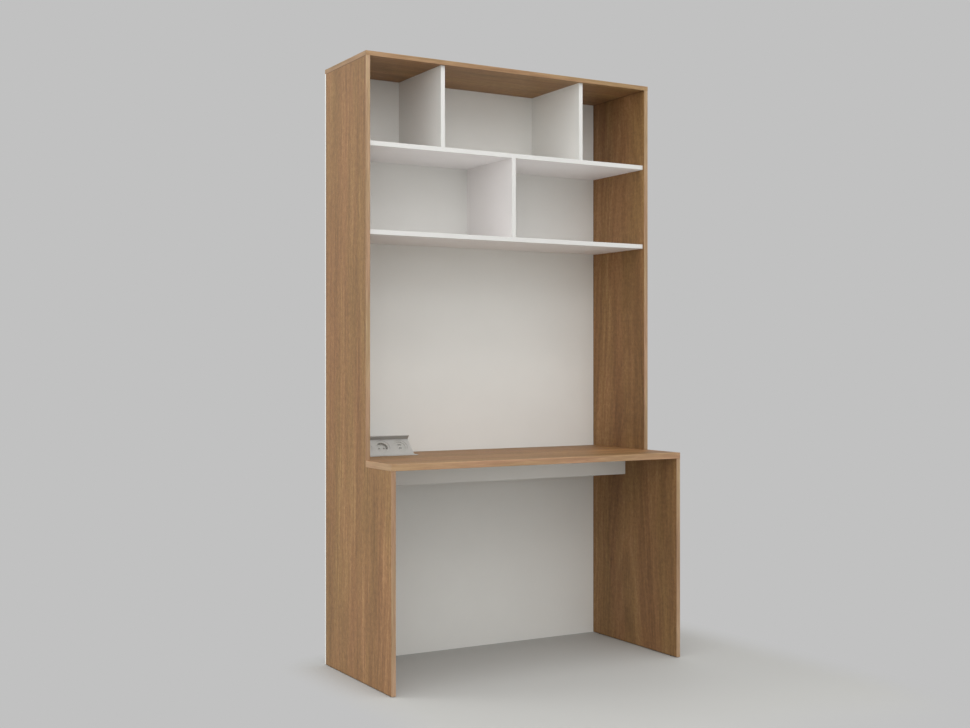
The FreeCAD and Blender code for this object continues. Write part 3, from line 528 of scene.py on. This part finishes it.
def worked(mesh, kind, **settings):
    """A mesh with a modifier applied."""
    blank = placed("blank", mesh)
    modifier = blank.modifiers.new(kind.lower(), kind)
    for key, value in settings.items():
        setattr(modifier, key, value)
    graph = bpy.context.evaluated_depsgraph_get()
    result = bpy.data.meshes.new_from_object(blank.evaluated_get(graph))
    bpy.data.objects.remove(blank)
    return result


def rounded(mesh, size, segments=3):
    """A mesh with its sharp edges rounded, by a size in millimetres."""
    return worked(mesh, "BEVEL", width=size * MM, segments=segments, limit_method="ANGLE",
                  angle_limit=SHARP, use_clamp_overlap=True)


def smooth(mesh):
    """A mesh shaded smooth over its round places, with its flat faces left flat."""
    for face in mesh.polygons:
        face.use_smooth = True
    mesh.set_sharp_from_angle(angle=SHARP)
    return worked(mesh, "WEIGHTED_NORMAL", keep_sharp=True, weight=90)


def softened(node, size):
    """A copy of a CAD node's mesh with its edges rounded, by a size in millimetres."""
    form = bmesh.new()
    form.from_mesh(nodes[node].data)
    bmesh.ops.remove_doubles(form, verts=form.verts, dist=WELD)
    bmesh.ops.dissolve_limit(form, angle_limit=COPLANAR, verts=form.verts, edges=form.edges)
    return smooth(rounded(meshed(node, form), size))


def carved(mesh, cutter, operation="DIFFERENCE"):
    """A mesh with another taken from it, or added to it."""
    tool = placed("tool", cutter)
    result = worked(mesh, "BOOLEAN", object=tool, operation=operation, solver="EXACT")
    bpy.data.objects.remove(tool)
    return result


def lathe(name, profile, steps=96):
    """A solid turned about Z from a profile of radius and height, in millimetres. The profile
    starts and ends on Z."""
    form = bmesh.new()
    rings = []
    for radius, height in profile:
        count = steps if radius > 0 else 1
        turns = [2 * math.pi * step / steps for step in range(count)]
        rings.append([form.verts.new((radius * MM * math.cos(turn), radius * MM * math.sin(turn),
                                      height * MM)) for turn in turns])
    for first, second in zip(rings, rings[1:]):
        for step in range(steps):
            after = (step + 1) % steps
            corners = [first[step % len(first)], first[after % len(first)],
                       second[after % len(second)], second[step % len(second)]]
            form.faces.new(list(dict.fromkeys(corners)))
    bmesh.ops.recalc_face_normals(form, faces=form.faces)
    return meshed(name, form)


def quarter(centre, radius, start, steps=5):
    """Points of a quarter turn, anticlockwise from an angle in degrees."""
    turns = [math.radians(start + 90 * step / steps) for step in range(steps + 1)]
    return [(centre[0] + radius * math.cos(turn), centre[1] + radius * math.sin(turn))
            for turn in turns]


def blocks(name, *boxes):
    """A mesh of boxes, each given by its lowest and highest corners, in millimetres."""
    form = bmesh.new()
    for low, high in boxes:
        for vert in bmesh.ops.create_cube(form, size=1.0)["verts"]:
            vert.co = [(a + (b - a) * (c + 0.5)) * MM for a, b, c in zip(low, high, vert.co)]
    return meshed(name, form)


def copied(name, mesh, places):
    """One mesh of a mesh's copies, each moved by a matrix."""
    form = bmesh.new()
    for place in places:
        first = len(form.verts)
        form.from_mesh(mesh)
        form.verts.ensure_lookup_table()
        bmesh.ops.transform(form, matrix=place, verts=form.verts[first:])
    return meshed(name, form)


# ---------------------------------------------------------------- power unit, glides, screws

flap_joint = frame["joints"][0]
HINGE = Vector(flap_joint["pos_m"])
# the raised flap's face leans back from upright by as much as the flap turns to lie level
LEAN = math.radians(flap_joint["range_deg"][1])
MOUTH_OUT = 85.8 * MM  # from the hinge axis out to the mouths of the inserts
MOUTH_DOWN = 11.7 * MM  # and down their face
INSERT_PITCH = 70 * MM

# the inserts, in millimetres; heights are from the mouth, which is the top of the rim
INSERT_DRUM = 22.0
INSERT_RIM = 28.6
INSERT_SEAT = -0.8
INSERT_BACK = -30.8
SOCKET_FLOOR = -9.5
PIN_RADIUS = 2.5
PIN_SPACING = 19.0
PIN_BOTTOM = -29.0
KEY_INNER, KEY_OUTER = 18.0, 21.2
KEY_HALF_WIDTH = 2.5
KEY_FOOT, KEY_TOP = -10.3, -2.2
PORT_SPACING = 15.0
PORT_HALF_WIDTH, PORT_HALF_HEIGHT = 6.7, 3.0
PORT_BOTTOM, PORT_TOP = -15.1, -1.0


def insert_profile(mouth, roll, recess, floor, fillet):
    """The turned shape of an insert: a drum behind a thin rim, with a round recess."""
    chamfer, edge = 0.6, 0.35
    profile = [(0, INSERT_BACK), (INSERT_DRUM - chamfer, INSERT_BACK),
               (INSERT_DRUM, INSERT_BACK + chamfer), (INSERT_DRUM, INSERT_SEAT),
               (INSERT_RIM, INSERT_SEAT)]
    profile += quarter((INSERT_RIM - edge, -edge), edge, 0, 3)
    profile += quarter((mouth, -roll), roll, 90)
    profile += quarter((recess - fillet, floor + fillet), fillet, -90)[::-1]
    return profile + [(0, floor)]


def pin_hole():
    """The tool for a pin hole, with the small lead-in at its mouth."""
    lead_depth, over = 0.7, 0.5
    lead_radius = PIN_RADIUS + 0.6
    return lathe("pin_hole", [(0, PIN_BOTTOM), (PIN_RADIUS, PIN_BOTTOM),
                              (PIN_RADIUS, SOCKET_FLOOR - lead_depth),
                              (lead_radius, SOCKET_FLOOR), (lead_radius, SOCKET_FLOOR + over),
                              (0, SOCKET_FLOOR + over)], 32)


def socket_mesh():
    """A round earthed socket, with its mouth in the plane of X and Y and its pin holes on X.
    Two keys stand in from the wall of its recess."""
    profile = insert_profile(mouth=21.8, roll=1.8, recess=20.0, floor=SOCKET_FLOOR, fillet=0.8)
    keys = []
    for side in (-1, 1):
        low, high = sorted((KEY_INNER * side, KEY_OUTER * side))
        keys.append(((low, -KEY_HALF_WIDTH, KEY_FOOT), (high, KEY_HALF_WIDTH, KEY_TOP)))
    keys = rounded(blocks("keys", *keys), 0.5, 2)
    body = carved(lathe("socket", profile), keys, "UNION")
    places = [Matrix.Translation((side * PIN_SPACING / 2 * MM, 0, 0)) for side in (-1, 1)]
    return carved(body, copied("holes", pin_hole(), places))


def charger_mesh():
    """The charger insert, with a slot for each of its two ports."""
    profile = insert_profile(mouth=21.5, roll=0.5, recess=21.0, floor=-2.0, fillet=0.4)
    slots = [((-PORT_HALF_WIDTH, port - PORT_HALF_HEIGHT, PORT_BOTTOM),
              (PORT_HALF_WIDTH, port + PORT_HALF_HEIGHT, PORT_TOP))
             for port in (-PORT_SPACING / 2, PORT_SPACING / 2)]
    return carved(lathe("charger", profile), blocks("slots", *slots))


def screw_mesh():
    """A pan head with a cross recess, seated at Z = 0 with its head along +Z."""
    head = lathe("head", [(0, -0.4), (3.4, -0.4), (3.5, 0.0), (3.5, 0.5), (3.3, 1.0), (2.8, 1.4),
                          (2.0, 1.7), (1.0, 1.85), (0, 1.9)], 32)
    reach, half, floor, over = 1.9, 0.4, 0.7, 2.4  # of the recess, in millimetres
    cross = [((-a, -b, floor), (a, b, over)) for a, b in ((reach, half), (half, reach))]
    return carved(head, blocks("cross", *cross))


def towards(direction, place, turn):
    """A matrix that sends +Z along a direction, from a place, turned about it."""
    aim = Vector(direction).to_track_quat("Z", "Y").to_matrix().to_4x4()
    return Matrix.Translation(place) @ aim @ Matrix.Rotation(turn, 4, "Z")


def mouth_place(x):
    """The frame of an insert's mouth on the raised flap, its Z straight out of the face."""
    out = Vector((0, -math.cos(LEAN), math.sin(LEAN)))
    up = Vector((0, math.sin(LEAN), math.cos(LEAN)))
    centre = HINGE + Vector((x, 0, 0)) + out * MOUTH_OUT - up * MOUTH_DOWN
    turned = Matrix((Vector((1, 0, 0)), up, out)).transposed().to_4x4()
    return Matrix.Translation(centre) @ turned


for node, size, material, body, slot in (
    ("flap_shell", 0.8, grey, "socket_flap", "grey_plastic"),
    ("power_box", 0.35, grey, "desk", "grey_plastic"),
    ("power_box_cover", 0.5, grey, "desk", "grey_plastic"),
    ("cord_gland", 0.6, black, "desk", "black_plastic"),
    ("floor_glides", 0.5, glide_black, "desk", "glide_plastic"),
    ("flap_hinge_pins", 0.4, pin_steel, "desk", "pin_steel"),
    ("clamp_brackets", 0.3, zinc, "desk", "zinc_steel"),
):
    added(f"{node}_rounded", softened(node, size), material, body, slot, node)

socket = socket_mesh()
for node, mesh, x in (("left_socket", socket, -INSERT_PITCH), ("middle_socket", socket, 0.0),
                      ("charger_insert", charger_mesh(), INSERT_PITCH)):
    turned = copied(f"{node}_turned", mesh, [mouth_place(x)])
    added(f"{node}_turned", smooth(turned), socket_grey, "socket_flap", "socket_plastic", node)

# The back panel is screwed to the sides' rear edges, and to those of the worktop and shelves.
SIDE_SCREWS = (0.06, 0.36, 0.66, 0.96, 1.26, 1.56, 1.86, 2.07)  # heights
SHELF_SCREWS = (-0.39, -0.13, 0.13, 0.39)  # places along a board
# The power unit's cover is screwed on from below. Each clamp bracket has a screw through its
# leg into the box, and one up through its arm into the worktop.
COVER_SCREWS = [(x, y) for x in (-0.526, -0.310) for y in (0.119, 0.239)]
# for each clamp its side, the face of its leg and the middle of its arm
CLAMPS = ((-1, -0.5345, -0.5410), (1, -0.3015, -0.2950))
LEG_SCREW_HEIGHT = 0.7160
ARM_UNDERSIDE = 0.7265
SCREW_TURN = 1.9  # from one screw's cross to the next, in radians

DOWN = (0, 0, -1)
REARWARD = (0, 1, 0)
back_screws = [(REARWARD, (middle(side).x, back_high.y, height))
               for side in ("left_side_panel", "right_side_panel") for height in SIDE_SCREWS]
back_screws += [(REARWARD, (x, back_high.y, middle(board).z)) for x in SHELF_SCREWS
                for board in ("worktop", "lower_shelf", "upper_shelf")]
cover_low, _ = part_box("power_box_cover")
clamp_y = middle("clamp_brackets").y
unit_screws = [(DOWN, (x, y, cover_low.z)) for x, y in COVER_SCREWS]
for side, leg, arm in CLAMPS:
    unit_screws += [((side, 0, 0), (leg, clamp_y, LEG_SCREW_HEIGHT)),
                    (DOWN, (arm, clamp_y, ARM_UNDERSIDE))]

screw = screw_mesh()
for name, screws in (("back_panel_screws", back_screws), ("power_unit_screws", unit_screws)):
    places = [towards(direction, place, SCREW_TURN * number)
              for number, (direction, place) in enumerate(screws)]
    added(name, smooth(copied(name, screw, places)), zinc, "desk", "zinc_steel")


# ---------------------------------------------------------------- floor, light and camera

BACKGROUND = linear(193, 193, 193)
FLOOR = linear(198, 198, 195)
FLOOR_SEEN = (185, 185, 182)
FLOOR_REACH = 40.0
# The floor keeps its own colour over a patch under, before and to the right of the desk, where
# the shadow lies, and turns into the background's colour within a reach of it on each side. On
# each axis these are the patch's limits, and the reach below and above them.
PATCH = ((-0.53, 0.78, 0.26, 0.28), (-0.85, 0.20, 0.55, 0.26))
FADE_START = 0.08  # share of the reach
FLOOR_ROUGHNESS = 0.7
ROOM_LIGHT = 0.66

# each lamp's place, the height that it is aimed at, its size and its power in watts
LAMPS = {
    "key": ((-3.4, -4.6, 2.6), 1.1, 2.6, 10),
    "front": ((0, -6, 2.0), 1.1, 3.0, 9),
    "top": ((0, -1.5, 5.0), 0.8, 3.0, 79),
    "camera_side": ((-2.4, -5.0, 3.4), 0.9, 3.0, 32),
    "left_rear": ((-5.0, 2.5, 3.0), 1.0, 3.0, 109),
    "top_front": ((0, -4.0, 4.6), 0.8, 3.0, 47),
    "left_low": ((-5.0, -2.5, 1.6), 1.0, 3.0, 28),
}

# the photograph's camera: level, and turned to the right
CAMERA_PLACE = (-2.4467, -4.1000, 1.0740)
CAMERA_TURN = math.radians(-29.97)
CAMERA_LENS = 48.98  # in millimetres, as is the sensor's width
SENSOR_WIDTH = 36.0


def shown_rays(tree):
    """Two levels: 1 for the camera's rays, and 1 for those and for rays by gloss or glass."""
    rays = tree.nodes.new("ShaderNodeLightPath").outputs
    shown = rays["Is Camera Ray"]
    for name in ("Is Glossy Ray", "Is Transmission Ray"):
        either = tree.nodes.new("ShaderNodeMath")
        either.operation = "MAXIMUM"
        tree.links.new(shown, either.inputs[0])
        tree.links.new(rays[name], either.inputs[1])
        shown = either.outputs[0]
    return rays["Is Camera Ray"], shown


def blended(tree, factor, first, second, output):
    """A mix of two shaders goes to the output."""
    blend = tree.nodes.new("ShaderNodeMixShader")
    for socket, value in zip(blend.inputs, (factor, first, second)):
        tree.links.new(value, socket)
    tree.links.new(blend.outputs[0], tree.nodes[output].inputs["Surface"])


def lit_floor():
    """A pale floor that is seen to turn into the background's colour away from the desk."""
    finish = Finish("floor")
    finish.shader.inputs["Roughness"].default_value = FLOOR_ROUGHNESS
    square = 0.0
    for coordinate, limits in zip(finish.parts(finish.point()), PATCH):
        low, high, reach_below, reach_above = limits
        below = finish.math("DIVIDE", finish.math("SUBTRACT", low, coordinate), reach_below)
        above = finish.math("DIVIDE", finish.math("SUBTRACT", coordinate, high), reach_above)
        beyond = finish.math("MAXIMUM", finish.math("MAXIMUM", below, above), 0.0)
        square = finish.math("ADD", square, finish.math("MULTIPLY", beyond, beyond))
    fade = finish.span(finish.math("SQRT", square), FADE_START, 1.0, interpolation="SMOOTHSTEP")
    own = finish.mix(finish.noise(finish.point(), 3.0, 2.0), *shades(FLOOR_SEEN, 0.98, 1))
    camera_rays, shown = shown_rays(finish.tree)
    finish.colour(finish.mix(camera_rays, FLOOR, own))
    glow = finish.tree.nodes.new("ShaderNodeEmission")
    glow.inputs["Color"].default_value = BACKGROUND
    blended(finish.tree, finish.math("MULTIPLY", fade, shown), finish.shader.outputs[0],
            glow.outputs[0], "Material Output")
    return finish.material


def plane(name, reach, material):
    """A flat square on the floor, out to its reach from the origin."""
    mesh = bpy.data.meshes.new(name)
    mesh.from_pydata([(-reach, -reach, 0), (reach, -reach, 0), (reach, reach, 0),
                      (-reach, reach, 0)], [], [(0, 1, 2, 3)])
    mesh.materials.append(material)
    return placed(name, mesh)


def studio_world():
    """A plain white room that is seen as the background's colour."""
    world = bpy.data.worlds.new("studio")
    world.use_nodes = True
    tree = world.node_tree
    backdrop = tree.nodes["Background"]
    backdrop.inputs["Color"].default_value = BACKGROUND
    room = tree.nodes.new("ShaderNodeBackground")
    room.inputs["Color"].default_value = (1, 1, 1, 1)
    room.inputs["Strength"].default_value = ROOM_LIGHT
    _, shown = shown_rays(tree)
    blended(tree, shown, room.outputs[0], backdrop.outputs[0], "World Output")
    return world


def soft_light(name, place, height, size, power):
    """A large square lamp aimed at a height on the desk's middle line."""
    lamp = bpy.data.lights.new(name, "AREA")
    lamp.size = size
    lamp.energy = power
    piece = placed(name, lamp)
    piece.location = place
    aim = Vector((0, 0, height)) - Vector(place)
    piece.rotation_euler = aim.to_track_quat("-Z", "Y").to_euler()


plane("floor", FLOOR_REACH, lit_floor())
bpy.context.scene.world = studio_world()
for name, settings in LAMPS.items():
    soft_light(name, *settings)

lens = bpy.data.cameras.new("camera")
lens.lens = CAMERA_LENS
lens.sensor_width = SENSOR_WIDTH
lens.clip_start = 0.05
lens.clip_end = 200.0
camera = placed("camera", lens)
camera.location = CAMERA_PLACE
camera.rotation_euler = (math.radians(90), 0, CAMERA_TURN)
bpy.context.scene.camera = camera
bpy.context.scene.view_settings.view_transform = "Standard"
